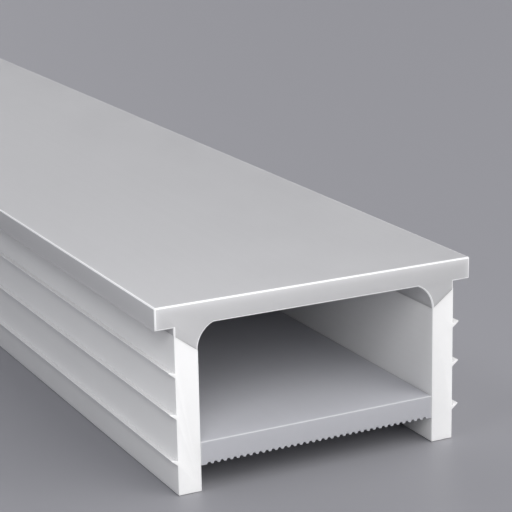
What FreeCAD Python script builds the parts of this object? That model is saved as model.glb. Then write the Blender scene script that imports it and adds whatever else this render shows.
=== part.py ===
import FreeCAD, Part
import math
import os

import Sketcher

# A length of silicone LED channel, the flexible diffuser profile that an LED strip slides into.
# Its section is extruded in four zones that are bonded face to face along their whole length:
#   diffuser_cap      the milky plate on top, with a flange at each side and a haunch over each wall
#   side_wall_left    a white wall with three barbs on its outer face, which grip a milled groove
#   side_wall_right   its mirror image
#   base_web          the seat of the LED strip, with fine grooves along its underside
# X runs across the section, Y along the length and Z up. The origin is in the middle of the
# section and of the length, on the plane of the two feet.

# Each driving size in millimetres, with what it measures.
SIZES = [
    ("channel_length", 500.0, "length of the cut piece"),
    ("overall_height", 11.0, "feet to the top of the cap"),
    ("body_width", 17.8, "across the outer faces of the walls, barbs left out"),
    ("flange_overhang", 1.1, "how far the cap stands out past a wall"),
    ("cap_thickness", 1.3, "thickness of the cap's plate and flanges"),
    ("wall_thickness", 1.4, "thickness of a side wall"),
    ("joint_outer_drop", 0.43, "cap underside down to the joint at a wall's outer face"),
    ("joint_inner_drop", 1.47, "cap underside down to the joint at a wall's inner face"),
    ("haunch_reach", 0.97, "how far a haunch curves in from the wall's inner face"),
    ("web_top", 2.9, "feet to the seat of the LED strip"),
    ("web_thickness", 1.38, "thickness of the web, grooves left out"),
    ("groove_radius", 0.13, "radius of a groove along the web's underside"),
    ("groove_pitch", 0.4, "spacing of the grooves"),
    ("groove_margin", 0.4, "least distance from a wall to the middle of the first groove"),
    ("barb_low", 1.77, "feet to the root of the lowest barb"),
    ("barb_middle", 4.46, "feet to the root of the middle barb"),
    ("barb_high", 6.86, "feet to the root of the highest barb"),
    ("barb_reach", 0.4, "how far a barb stands out from its wall"),
    ("barb_rise", 0.38, "a barb's lower root up to the top of its tip"),
    ("barb_root", 0.27, "thickness of a barb at its root"),
    ("barb_tip", 0.06, "thickness of a barb at its tip"),
]

# Places in the section that more than one zone shares, as expressions on the sheet.
HALF_BODY = "dims.body_width / 2"
HALF_CAP = f"{HALF_BODY} + dims.flange_overhang"
HALF_CAVITY = f"{HALF_BODY} - dims.wall_thickness"
BARB_EDGE = f"{HALF_BODY} + dims.barb_reach"
CAP_UNDERSIDE = "dims.overall_height - dims.cap_thickness"
JOINT_OUTER = f"{CAP_UNDERSIDE} - dims.joint_outer_drop"
JOINT_INNER = f"{CAP_UNDERSIDE} - dims.joint_inner_drop"
WEB_UNDERSIDE = "dims.web_top - dims.web_thickness"
FLOOR = "0"

# The grooves that fit between the margins of the web, and the span of their centres.
GROOVE_GAPS = f"floor(2 * ({HALF_CAVITY} - dims.groove_margin) / dims.groove_pitch)"
GROOVE_SPAN = f"{GROOVE_GAPS} * dims.groove_pitch"


def make_sheet(doc):
    """The sheet of driving sizes, one aliased cell for each."""
    sheet = doc.addObject("Spreadsheet::Sheet", "dims")
    for row, (alias, size, meaning) in enumerate(SIZES, start=1):
        sheet.set(f"A{row}", alias)
        sheet.set(f"B{row}", str(size))
        sheet.set(f"C{row}", meaning)
        sheet.setAlias(f"B{row}", alias)
    doc.recompute()


def make_body(doc, label):
    """An empty body, which holds one zone of the section."""
    body = doc.addObject("PartDesign::Body", label)
    body.Label = label
    body.Placement = FreeCAD.Placement()
    return body


def section_sketch(body, name):
    """A sketch across the channel: its x is X and its y is Z."""
    plane = next(item for item in body.Origin.OriginFeatures if item.Role == "XZ_Plane")
    sketch = body.newObject("Sketcher::SketchObject", name)
    sketch.AttachmentSupport = [(plane, "")]
    sketch.MapMode = "FlatFace"
    return sketch


def pin(sketch, kind, edge, point, size):
    """Hold one point of an edge at a size from the origin, along one axis."""
    if size == FLOOR:
        sketch.addConstraint(Sketcher.Constraint("PointOnObject", edge, point, -1))
        return
    rule = Sketcher.Constraint(kind, -1, 1, edge, point, float(sketch.evalExpression(size)))
    sketch.setExpression(f"Constraints[{sketch.addConstraint(rule)}]", size)


def upright_arc(start, end, foot):
    """The arc from start to end, counter-clockwise, whose centre is level with its foot."""
    reach = abs(end.x - start.x)
    rise = abs(end.y - start.y)
    radius = (reach**2 + rise**2) / (2 * reach)
    inward = -math.copysign(radius, foot.x)
    centre = FreeCAD.Vector(foot.x + inward, foot.y, 0)
    circle = Part.Circle(centre, FreeCAD.Vector(0, 0, 1), radius)
    return Part.ArcOfCircle(circle, circle.parameter(start), circle.parameter(end))


def draw_outline(sketch, corners, arcs=None):
    """A closed outline through corners given as (across, up) expressions.

    arcs maps the number of each curved edge to which of its ends, 1 or 2, it leaves upright.
    """
    arcs = arcs or {}
    points = [
        FreeCAD.Vector(float(sketch.evalExpression(across)), float(sketch.evalExpression(up)), 0)
        for across, up in corners
    ]
    for number, (start, end) in enumerate(zip(points, points[1:] + points[:1])):
        if number in arcs:
            foot = start if arcs[number] == 1 else end
            sketch.addGeometry(upright_arc(start, end, foot))
        else:
            sketch.addGeometry(Part.LineSegment(start, end))
    for number, (across, up) in enumerate(corners):
        edge_before = (number - 1) % len(corners)
        sketch.addConstraint(Sketcher.Constraint("Coincident", edge_before, 2, number, 1))
        pin(sketch, "DistanceX", number, 1, across)
        pin(sketch, "DistanceY", number, 1, up)
    for number, foot_end in arcs.items():
        sketch.addConstraint(Sketcher.Constraint("Horizontal", number, 3, number, foot_end))


def extrude(body, sketch):
    """Pad a section over the whole length, half each way from the middle."""
    pad = body.newObject("PartDesign::Pad", f"{sketch.Name}_pad")
    pad.Profile = sketch
    pad.SideType = "Symmetric"
    pad.setExpression("Length", "dims.channel_length")
    sketch.Visibility = False
    return pad


def mirrored(corners):
    """The same corners on the other side of the middle, in the opposite order."""
    return [(f"-({across})", up) for across, up in reversed(corners)]


def make_cap(doc):
    """The plate, its flanges, and the haunches that come down to the slanted joints."""
    body = make_body(doc, "diffuser_cap")
    sketch = section_sketch(body, "cap_section")
    right = [
        (HALF_CAP, "dims.overall_height"),
        (HALF_CAP, CAP_UNDERSIDE),
        (HALF_BODY, CAP_UNDERSIDE),
        (HALF_BODY, JOINT_OUTER),
        (HALF_CAVITY, JOINT_INNER),
        (f"{HALF_CAVITY} - dims.haunch_reach", CAP_UNDERSIDE),
    ]
    right_haunch = 4
    left_haunch = 6
    draw_outline(sketch, right + mirrored(right), {right_haunch: 1, left_haunch: 2})
    extrude(body, sketch)


def barb_corners(root):
    """The corners of one barb, which points outward and up, from its lower root."""
    return [
        (HALF_BODY, root),
        (BARB_EDGE, f"{root} + dims.barb_rise - dims.barb_tip"),
        (BARB_EDGE, f"{root} + dims.barb_rise"),
        (HALF_BODY, f"{root} + dims.barb_root"),
    ]


def make_wall(doc, label, on_the_right):
    """A side wall with its foot, its three barbs and the slanted joint on top."""
    body = make_body(doc, label)
    sketch = section_sketch(body, f"{label}_section")
    corners = [(HALF_CAVITY, FLOOR), (HALF_BODY, FLOOR)]
    for barb in ("low", "middle", "high"):
        corners += barb_corners(f"dims.barb_{barb}")
    corners += [(HALF_BODY, JOINT_OUTER), (HALF_CAVITY, JOINT_INNER)]
    draw_outline(sketch, corners if on_the_right else mirrored(corners))
    extrude(body, sketch)


def make_web(doc):
    """The seat of the LED strip, with its row of half-round grooves underneath."""
    body = make_body(doc, "base_web")
    sketch = section_sketch(body, "web_section")
    right = [(HALF_CAVITY, "dims.web_top"), (HALF_CAVITY, WEB_UNDERSIDE)]
    draw_outline(sketch, right + mirrored(right))
    slab = extrude(body, sketch)
    doc.recompute()

    groove_sketch = section_sketch(body, "groove_section")
    start = FreeCAD.Vector(
        -float(groove_sketch.evalExpression(GROOVE_SPAN)) / 2,
        float(groove_sketch.evalExpression(WEB_UNDERSIDE)),
        0,
    )
    radius = float(groove_sketch.evalExpression("dims.groove_radius"))
    circle = groove_sketch.addGeometry(Part.Circle(start, FreeCAD.Vector(0, 0, 1), radius))
    pin(groove_sketch, "DistanceX", circle, 3, f"-({GROOVE_SPAN}) / 2")
    pin(groove_sketch, "DistanceY", circle, 3, WEB_UNDERSIDE)
    size = groove_sketch.addConstraint(Sketcher.Constraint("Radius", circle, radius))
    groove_sketch.setExpression(f"Constraints[{size}]", "dims.groove_radius")

    groove = body.newObject("PartDesign::Pocket", "groove")
    groove.Profile = groove_sketch
    groove.SideType = "Symmetric"
    groove.setExpression("Length", "dims.channel_length")
    groove_sketch.Visibility = False
    doc.recompute()
    if groove.Shape.Volume >= slab.Shape.Volume:
        raise RuntimeError("the first groove cuts nothing")

    grooves = body.newObject("PartDesign::LinearPattern", "grooves")
    grooves.Originals = [groove]
    grooves.Direction = (groove_sketch, ["H_Axis"])
    grooves.Mode = "Extent"
    grooves.setExpression("Length", GROOVE_SPAN)
    grooves.setExpression("Occurrences", f"{GROOVE_GAPS} + 1")
    body.Tip = grooves
    doc.recompute()
    if grooves.Shape.Volume >= groove.Shape.Volume:
        raise RuntimeError("the row of grooves cuts nothing")


def check(doc, bodies):
    """Stop if anything failed to build, before a file is written."""
    for item in doc.Objects:
        if "Invalid" in item.State or "Error" in item.State:
            raise RuntimeError(f"{item.Name} did not build: {item.State}")
    for body in bodies:
        if body.Shape.isNull() or not body.Shape.isValid() or len(body.Shape.Solids) != 1:
            raise RuntimeError(f"{body.Label} is not one valid solid")


def main():
    doc = FreeCAD.newDocument("silicone_led_channel")
    make_sheet(doc)
    make_cap(doc)
    make_wall(doc, "side_wall_left", on_the_right=False)
    make_wall(doc, "side_wall_right", on_the_right=True)
    make_web(doc)
    doc.recompute()
    bodies = [item for item in doc.Objects if item.TypeId == "PartDesign::Body"]
    check(doc, bodies)
    os.makedirs("parts", exist_ok=True)
    for body in bodies:
        body.Shape.exportStep(f"parts/{body.Label}.step")
        box = body.Shape.BoundBox
        print(
            f"{body.Label}: {body.Shape.Volume:.1f} mm3, {box.XLength:.2f} x {box.YLength:.2f}"
            f" x {box.ZLength:.2f} mm, {len(body.Shape.Faces)} faces"
        )


main()
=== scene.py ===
import math

import bpy
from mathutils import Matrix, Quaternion, Vector


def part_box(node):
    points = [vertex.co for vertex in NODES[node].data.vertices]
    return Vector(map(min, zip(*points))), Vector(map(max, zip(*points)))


# A cut length of silicone LED channel, shown from its near end. Everything is in metres.
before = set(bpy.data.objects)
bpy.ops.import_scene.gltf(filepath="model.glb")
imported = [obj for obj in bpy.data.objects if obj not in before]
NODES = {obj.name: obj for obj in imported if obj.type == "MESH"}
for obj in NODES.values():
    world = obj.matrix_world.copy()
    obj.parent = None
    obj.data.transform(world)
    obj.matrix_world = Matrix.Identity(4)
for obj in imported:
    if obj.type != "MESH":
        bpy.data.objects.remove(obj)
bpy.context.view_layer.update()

MM = 0.001
HAIR = 0.01 * MM
WELD_GAP = 0.0002 * MM
SHARP = 30
CREASE = 40
CAP_LOW, CAP_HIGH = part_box("diffuser_cap")
WALL_LOW, WALL_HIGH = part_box("side_wall_right")
WEB_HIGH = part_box("base_web")[1]
NEAR_END = CAP_LOW.y
TOP = CAP_HIGH.z


# ---------------------------------------------------------------- node helpers


def add_node(tree, kind, inputs=None, **settings):
    """A node with its settings made, and its inputs set to values or linked to sockets."""
    node = tree.nodes.new(kind)
    for name, value in settings.items():
        setattr(node, name, value)
    for name, value in (inputs or {}).items():
        if isinstance(value, bpy.types.NodeSocket):
            tree.links.new(value, node.inputs[name])
        else:
            node.inputs[name].default_value = value
    return node


def math_node(tree, operation, first, second=0.0, clamp=False):
    """The result of one sum."""
    node = add_node(
        tree, "ShaderNodeMath", {0: first, 1: second}, operation=operation, use_clamp=clamp
    )
    return node.outputs[0]


def remap(tree, value, low, high, new_low, new_high):
    """value, from low..high to new_low..new_high, held inside that range."""
    node = add_node(
        tree,
        "ShaderNodeMapRange",
        {
            "Value": value,
            "From Min": low,
            "From Max": high,
            "To Min": new_low,
            "To Max": new_high,
        },
    )
    return node.outputs["Result"]


# ---------------------------------------------------------------- edge rounding


def geometry_tree(name):
    """An empty geometry node tree, with its input and output nodes."""
    tree = bpy.data.node_groups.new(name, "GeometryNodeTree")
    tree.interface.new_socket("Geometry", in_out="INPUT", socket_type="NodeSocketGeometry")
    tree.interface.new_socket("Geometry", in_out="OUTPUT", socket_type="NodeSocketGeometry")
    return tree, tree.nodes.new("NodeGroupInput"), tree.nodes.new("NodeGroupOutput")


def clean_tree():
    """Joins the points that the import left doubled, and drops its stored normals."""
    tree, start, end = geometry_tree("clean")
    bare = add_node(
        tree,
        "GeometryNodeRemoveAttribute",
        {"Geometry": start.outputs[0], "Name": "custom_normal"},
    )
    merged = add_node(
        tree,
        "GeometryNodeMergeByDistance",
        {"Geometry": bare.outputs["Geometry"], "Distance": WELD_GAP},
    )
    tree.links.new(merged.outputs["Geometry"], end.inputs[0])
    return tree


def compare(tree, first, operation, second):
    """A field that is true where the comparison of two numbers holds."""
    node = add_node(
        tree,
        "FunctionNodeCompare",
        {0: first, 1: second},
        data_type="FLOAT",
        operation=operation,
    )
    return node.outputs[0]


def sharp_edges(tree, least_angle):
    """A field that is true on edges that turn by more than least_angle degrees."""
    angle = add_node(tree, "GeometryNodeInputMeshEdgeAngle").outputs["Unsigned Angle"]
    return compare(tree, angle, "GREATER_THAN", math.radians(least_angle))


def either(tree, *fields):
    """A field that is true where any of these is."""
    found = fields[0]
    for field in fields[1:]:
        found = add_node(
            tree, "FunctionNodeBooleanMath", {0: found, 1: field}, operation="OR"
        ).outputs[0]
    return found


def both(tree, *fields):
    """A field that is true where all of these are."""
    found = fields[0]
    for field in fields[1:]:
        found = add_node(
            tree, "FunctionNodeBooleanMath", {0: found, 1: field}, operation="AND"
        ).outputs[0]
    return found


def free_edges(tree, lowest, lowest_long):
    """
    A field that is true on edges outside the joints of cap and wall, if their top is above
    lowest, or above lowest_long where they run along the channel.
    """
    ends = add_node(tree, "GeometryNodeInputMeshEdgeVertices").outputs
    x_1, y_1, z_1 = add_node(tree, "ShaderNodeSeparateXYZ", {0: ends["Position 1"]}).outputs
    x_2, y_2, z_2 = add_node(tree, "ShaderNodeSeparateXYZ", {0: ends["Position 2"]}).outputs
    out_1 = math_node(tree, "ABSOLUTE", x_1)
    out_2 = math_node(tree, "ABSOLUTE", x_2)
    innermost = math_node(tree, "MINIMUM", out_1, out_2)
    bottom = math_node(tree, "MINIMUM", z_1, z_2)
    top = math_node(tree, "MAXIMUM", z_1, z_2)
    run = math_node(tree, "ABSOLUTE", math_node(tree, "SUBTRACT", y_1, y_2))
    outside_joint = either(
        tree,
        compare(tree, innermost, "LESS_THAN", WALL_LOW.x - HAIR),
        compare(tree, bottom, "LESS_THAN", CAP_LOW.z - HAIR),
        compare(tree, top, "GREATER_THAN", WALL_HIGH.z + HAIR),
    )
    across = both(
        tree,
        compare(tree, run, "LESS_THAN", HAIR),
        compare(tree, top, "GREATER_THAN", lowest),
    )
    high = either(tree, across, compare(tree, top, "GREATER_THAN", lowest_long))
    return both(tree, outside_joint, high)


def weight_tree(name, lowest, lowest_long):
    """Marks the sharp edges to round."""
    tree, start, end = geometry_tree(f"{name}_weights")
    chosen = both(tree, sharp_edges(tree, SHARP), free_edges(tree, lowest, lowest_long))
    stored = add_node(
        tree,
        "GeometryNodeStoreNamedAttribute",
        {"Geometry": start.outputs[0], "Name": "bevel_weight_edge", "Value": chosen},
        data_type="FLOAT",
        domain="EDGE",
    )
    tree.links.new(stored.outputs["Geometry"], end.inputs[0])
    return tree


def shade_tree():
    """Shades smooth, except across edges that turn by more than CREASE degrees."""
    tree, start, end = geometry_tree("shade")
    faces = add_node(
        tree,
        "GeometryNodeSetShadeSmooth",
        {"Geometry": start.outputs[0], "Shade Smooth": True},
        domain="FACE",
    )
    edges = add_node(
        tree,
        "GeometryNodeSetShadeSmooth",
        {
            "Geometry": faces.outputs["Geometry"],
            "Selection": sharp_edges(tree, CREASE),
            "Shade Smooth": False,
        },
        domain="EDGE",
    )
    tree.links.new(edges.outputs["Geometry"], end.inputs[0])
    return tree


CLEAN = clean_tree()
SHADE = shade_tree()


def round_edges(name, width, lowest=-1.0, lowest_long=-1.0, painted_highlight_slot=-1):
    """
    Rounds a CAD node's free sharp edges with modifiers, and leaves its mesh alone.
    painted_highlight_slot is the material slot of the rounded faces, which holds a lighter
    material that paints a highlight on them, or -1 for the material beside them.
    """
    piece = NODES[name]
    piece.modifiers.new("clean", "NODES").node_group = CLEAN
    flat = piece.modifiers.new("join_flat_faces", "DECIMATE")
    flat.decimate_type = "DISSOLVE"
    flat.angle_limit = math.radians(1)
    piece.modifiers.new("weights", "NODES").node_group = weight_tree(
        name, lowest, lowest_long
    )
    bevel = piece.modifiers.new("round", "BEVEL")
    bevel.limit_method = "WEIGHT"
    bevel.width = width
    bevel.segments = 3
    bevel.material = painted_highlight_slot
    piece.modifiers.new("shade", "NODES").node_group = SHADE


# ---------------------------------------------------------------- materials

CLOUD_SIZE = 5 * MM
LINE_SIZE = 0.5 * MM
LINE_STRETCH = 0.012
GRAIN_SIZE = 0.08 * MM
RELIEF_DEPTH = 0.01 * MM
PAINTED_HIGHLIGHT_REACH = 0.6 * MM
SILICONE_IOR = 1.41


def silicone(name, colour, roughness, scatter, depth, painted_cut_light_and_shade=0.0, painted_edge_highlight=0.0):
    """
    Extruded silicone: cloudy, with faint lines along its length and a frosted cut end, which is
    rougher and grainier.
    painted_cut_light_and_shade is painted light that makes the cut end lighter by that much,
    and painted shade where it is below zero; painted_edge_highlight is a painted highlight that
    lightens the cut end near its top and side edges.
    """
    material = bpy.data.materials.new(name)
    material.use_nodes = True
    tree = material.node_tree
    tree.nodes.clear()
    place = add_node(tree, "ShaderNodeTexCoord").outputs["Object"]
    normal = add_node(tree, "ShaderNodeNewGeometry").outputs["Normal"]
    along = add_node(tree, "ShaderNodeSeparateXYZ", {0: normal}).outputs["Y"]
    cut = remap(tree, math_node(tree, "ABSOLUTE", along), 0.6, 0.9, 0.0, 1.0)

    clouds = add_node(
        tree,
        "ShaderNodeTexNoise",
        {"Vector": place, "Scale": 1 / CLOUD_SIZE, "Detail": 3.0, "Roughness": 0.55},
    ).outputs["Fac"]
    drawn = add_node(
        tree, "ShaderNodeMapping", {"Vector": place, "Scale": (1.0, LINE_STRETCH, 1.0)}
    ).outputs["Vector"]
    lines = add_node(
        tree,
        "ShaderNodeTexNoise",
        {"Vector": drawn, "Scale": 1 / LINE_SIZE, "Detail": 4.0, "Roughness": 0.6},
    ).outputs["Fac"]
    grain = add_node(
        tree,
        "ShaderNodeTexNoise",
        {"Vector": place, "Scale": 1 / GRAIN_SIZE, "Detail": 2.0, "Roughness": 0.5},
    ).outputs["Fac"]

    tone = math_node(
        tree,
        "ADD",
        remap(tree, clouds, 0.3, 0.7, 0.99, 1.01),
        remap(tree, lines, 0.3, 0.7, -0.008, 0.008),
    )
    # Painted light on the cut end: lighter for the cap and walls, and painted shade for the
    # web, standing in for the light that falls on the end face.
    if painted_cut_light_and_shade:
        tone = math_node(tree, "ADD", tone, math_node(tree, "MULTIPLY", cut, painted_cut_light_and_shade))
    # Painted highlight: the cut end is lightened near its top and side edges, where they would
    # catch light.
    if painted_edge_highlight:
        x, _, z = add_node(tree, "ShaderNodeSeparateXYZ", {0: place}).outputs
        from_top = math_node(tree, "SUBTRACT", TOP, z)
        from_side = math_node(tree, "SUBTRACT", CAP_HIGH.x, math_node(tree, "ABSOLUTE", x))
        nearest = math_node(tree, "MINIMUM", from_top, from_side)
        fade = remap(tree, nearest, 0.0, PAINTED_HIGHLIGHT_REACH, 1.0, 0.0)
        painted_highlight = math_node(tree, "MULTIPLY", math_node(tree, "MULTIPLY", fade, fade), cut)
        tone = math_node(tree, "ADD", tone, math_node(tree, "MULTIPLY", painted_highlight, painted_edge_highlight))
    shade = add_node(
        tree,
        "ShaderNodeVectorMath",
        {0: colour, "Scale": tone},
        operation="SCALE",
    ).outputs[0]
    gloss = math_node(
        tree,
        "ADD",
        remap(tree, clouds, 0.3, 0.7, roughness - 0.04, roughness + 0.04),
        math_node(tree, "MULTIPLY", cut, 0.12),
    )
    relief = add_node(
        tree,
        "ShaderNodeMix",
        {"Factor": cut, "A": lines, "B": grain},
        data_type="FLOAT",
    ).outputs["Result"]
    bump = add_node(
        tree,
        "ShaderNodeBump",
        {"Height": relief, "Strength": 0.25, "Distance": RELIEF_DEPTH},
    ).outputs["Normal"]
    shader = add_node(
        tree,
        "ShaderNodeBsdfPrincipled",
        {
            "Base Color": shade,
            "Roughness": gloss,
            "IOR": SILICONE_IOR,
            "Normal": bump,
            "Subsurface Weight": scatter,
            "Subsurface Radius": depth,
            "Subsurface Scale": 1 * MM,
        },
    )
    output = add_node(tree, "ShaderNodeOutputMaterial")
    tree.links.new(shader.outputs["BSDF"], output.inputs["Surface"])
    return material


def dress(name, *materials):
    """Gives a CAD node its materials, the first of them all over."""
    slots = NODES[name].data.materials
    slots.clear()
    for material in materials:
        slots.append(material)


CAP = silicone(
    "cap_silicone",
    colour=(0.505, 0.505, 0.513),
    roughness=0.42,
    scatter=0.7,
    depth=(0.5, 0.5, 0.5),
    painted_cut_light_and_shade=0.09,
    painted_edge_highlight=0.2,
)
# Painted highlight: a much lighter copy of the cap silicone for the cap's rounded edges,
# standing in for the light that they catch.
PAINTED_RIM_HIGHLIGHT = silicone(
    "painted_rim_highlight",
    colour=(0.93, 0.93, 0.94),
    roughness=0.4,
    scatter=0.3,
    depth=(0.5, 0.5, 0.5),
)
WALL = silicone(
    "wall_silicone",
    colour=(0.77, 0.77, 0.77),
    roughness=0.5,
    scatter=0.3,
    depth=(0.4, 0.4, 0.4),
    painted_cut_light_and_shade=0.2,
)
WEB = silicone(
    "web_silicone",
    colour=(0.505, 0.51, 0.545),
    roughness=0.48,
    scatter=0.3,
    depth=(0.4, 0.4, 0.4),
    painted_cut_light_and_shade=-0.14,
)
# Painted highlight: a lighter copy of the web silicone for the web's rounded top edges,
# standing in for the light that they catch.
PAINTED_WEB_RIM_HIGHLIGHT = silicone(
    "painted_web_rim_highlight",
    colour=(0.555, 0.56, 0.58),
    roughness=0.45,
    scatter=0.3,
    depth=(0.4, 0.4, 0.4),
)

dress("diffuser_cap", CAP, PAINTED_RIM_HIGHLIGHT)
dress("side_wall_left", WALL)
dress("side_wall_right", WALL)
dress("base_web", WEB, PAINTED_WEB_RIM_HIGHLIGHT)
round_edges("diffuser_cap", 0.085 * MM, lowest_long=TOP - HAIR, painted_highlight_slot=1)
round_edges("side_wall_left", 0.025 * MM)
round_edges("side_wall_right", 0.025 * MM)
seat = WEB_HIGH.z - HAIR
round_edges("base_web", 0.06 * MM, lowest=seat, lowest_long=seat, painted_highlight_slot=1)


# ---------------------------------------------------------------- stage, light and camera

FLOOR_SIZE = 16.0
FLOOR_DROP = 0.03 * MM
FLOOR_LIT = (0.5, 0.5, 0.51, 1.0)
FLOOR_SEEN = (0.37, 0.37, 0.395, 1.0)
WORLD_LIT = (0.28, 0.285, 0.315, 1.0)
WORLD_SEEN = (0.15, 0.15, 0.175, 1.0)
LIT_PIECES = bpy.data.collections.new("lit_pieces")
for piece in NODES.values():
    LIT_PIECES.objects.link(piece)


def is_seen(tree):
    """1 where the camera or a gloss looks, and 0 where light bounces."""
    ray = add_node(tree, "ShaderNodeLightPath").outputs
    return math_node(tree, "MAXIMUM", ray["Is Camera Ray"], ray["Is Glossy Ray"])


def make_floor():
    """A plain floor with a soft sheen, which bounces more light than it shows."""
    half = FLOOR_SIZE / 2
    below = -FLOOR_DROP
    mesh = bpy.data.meshes.new("floor")
    corners = [(-half, -half), (half, -half), (half, half), (-half, half)]
    mesh.from_pydata([(x, y, below) for x, y in corners], [], [(0, 1, 2, 3)])
    floor = bpy.data.objects.new("floor", mesh)
    bpy.context.scene.collection.objects.link(floor)
    material = bpy.data.materials.new("floor")
    material.use_nodes = True
    tree = material.node_tree
    shader = tree.nodes["Principled BSDF"]
    colour = add_node(
        tree,
        "ShaderNodeMix",
        {"Factor": is_seen(tree), 6: FLOOR_LIT, 7: FLOOR_SEEN},
        data_type="RGBA",
    )
    tree.links.new(colour.outputs[2], shader.inputs["Base Color"])
    shader.inputs["Roughness"].default_value = 0.45
    shader.inputs["IOR"].default_value = 1.35
    mesh.materials.append(material)


def make_world():
    """Even light from all round, which gloss and the camera see as a darker grey backdrop."""
    world = bpy.data.worlds.new("studio")
    world.use_nodes = True
    tree = world.node_tree
    lit = tree.nodes["Background"]
    lit.inputs["Color"].default_value = WORLD_LIT
    seen = add_node(tree, "ShaderNodeBackground", {"Color": WORLD_SEEN})
    mixed = add_node(
        tree,
        "ShaderNodeMixShader",
        {0: is_seen(tree), 1: lit.outputs[0], 2: seen.outputs[0]},
    )
    tree.links.new(mixed.outputs[0], tree.nodes["World Output"].inputs["Surface"])
    bpy.context.scene.world = world


def make_sun(name, strength, colour, azimuth, elevation, spread):
    """A broad far lamp that shines from the given direction."""
    lamp = bpy.data.lights.new(name, "SUN")
    lamp.energy = strength
    lamp.color = colour
    lamp.angle = math.radians(spread)
    sun = bpy.data.objects.new(name, lamp)
    sun.rotation_mode = "QUATERNION"
    sun.rotation_quaternion = (-direction(azimuth, elevation)).to_track_quat("-Z", "Y")
    bpy.context.scene.collection.objects.link(sun)


def make_lamp(name, power, place, target, size):
    """A square softbox that faces a point, and lights the channel but not the floor."""
    lamp = bpy.data.lights.new(name, "AREA")
    lamp.energy = power
    lamp.size = size
    box = bpy.data.objects.new(name, lamp)
    box.location = place
    box.rotation_mode = "QUATERNION"
    box.rotation_quaternion = (Vector(target) - Vector(place)).to_track_quat("-Z", "Y")
    box.visible_camera = False
    box.visible_glossy = False
    box.light_linking.receiver_collection = LIT_PIECES
    bpy.context.scene.collection.objects.link(box)


def direction(azimuth, elevation):
    """The way from the object to something at that azimuth and height, in degrees."""
    a, e = math.radians(azimuth), math.radians(elevation)
    return Vector((math.sin(a) * math.cos(e), -math.cos(a) * math.cos(e), math.sin(e)))


def make_camera():
    """A long lens, low and to the left of the near end."""
    data = bpy.data.cameras.new("camera")
    data.sensor_width = 36.0
    data.lens = 127.4
    data.clip_start = 0.005
    data.clip_end = 50.0
    camera = bpy.data.objects.new("camera", data)
    camera.location = Vector((-46.41 * MM, NEAR_END - 84.91 * MM, 39.81 * MM))
    level = (-direction(-26.61, 15.74)).to_track_quat("-Z", "Y")
    camera.rotation_mode = "QUATERNION"
    camera.rotation_quaternion = level @ Quaternion((0, 0, 1), math.radians(-1.07))
    bpy.context.scene.collection.objects.link(camera)
    bpy.context.scene.camera = camera


make_floor()
make_world()
make_sun("key", 1.6, (1.0, 0.99, 0.965), 25, 35, 60)
make_sun("left", 0.3, (1.0, 1.0, 1.0), -80, 55, 20)
make_sun("right", 1.03, (1.0, 0.99, 0.97), 90, 30, 60)
make_sun("back", 0.38, (1.0, 1.0, 1.0), 190, 30, 60)
near_end = (0.0, NEAR_END, 6 * MM)
make_lamp("near_left", 0.0118, (-32 * MM, NEAR_END - 36 * MM, 34 * MM), near_end, 30 * MM)
make_camera()
bpy.context.scene.view_settings.view_transform = "Standard"
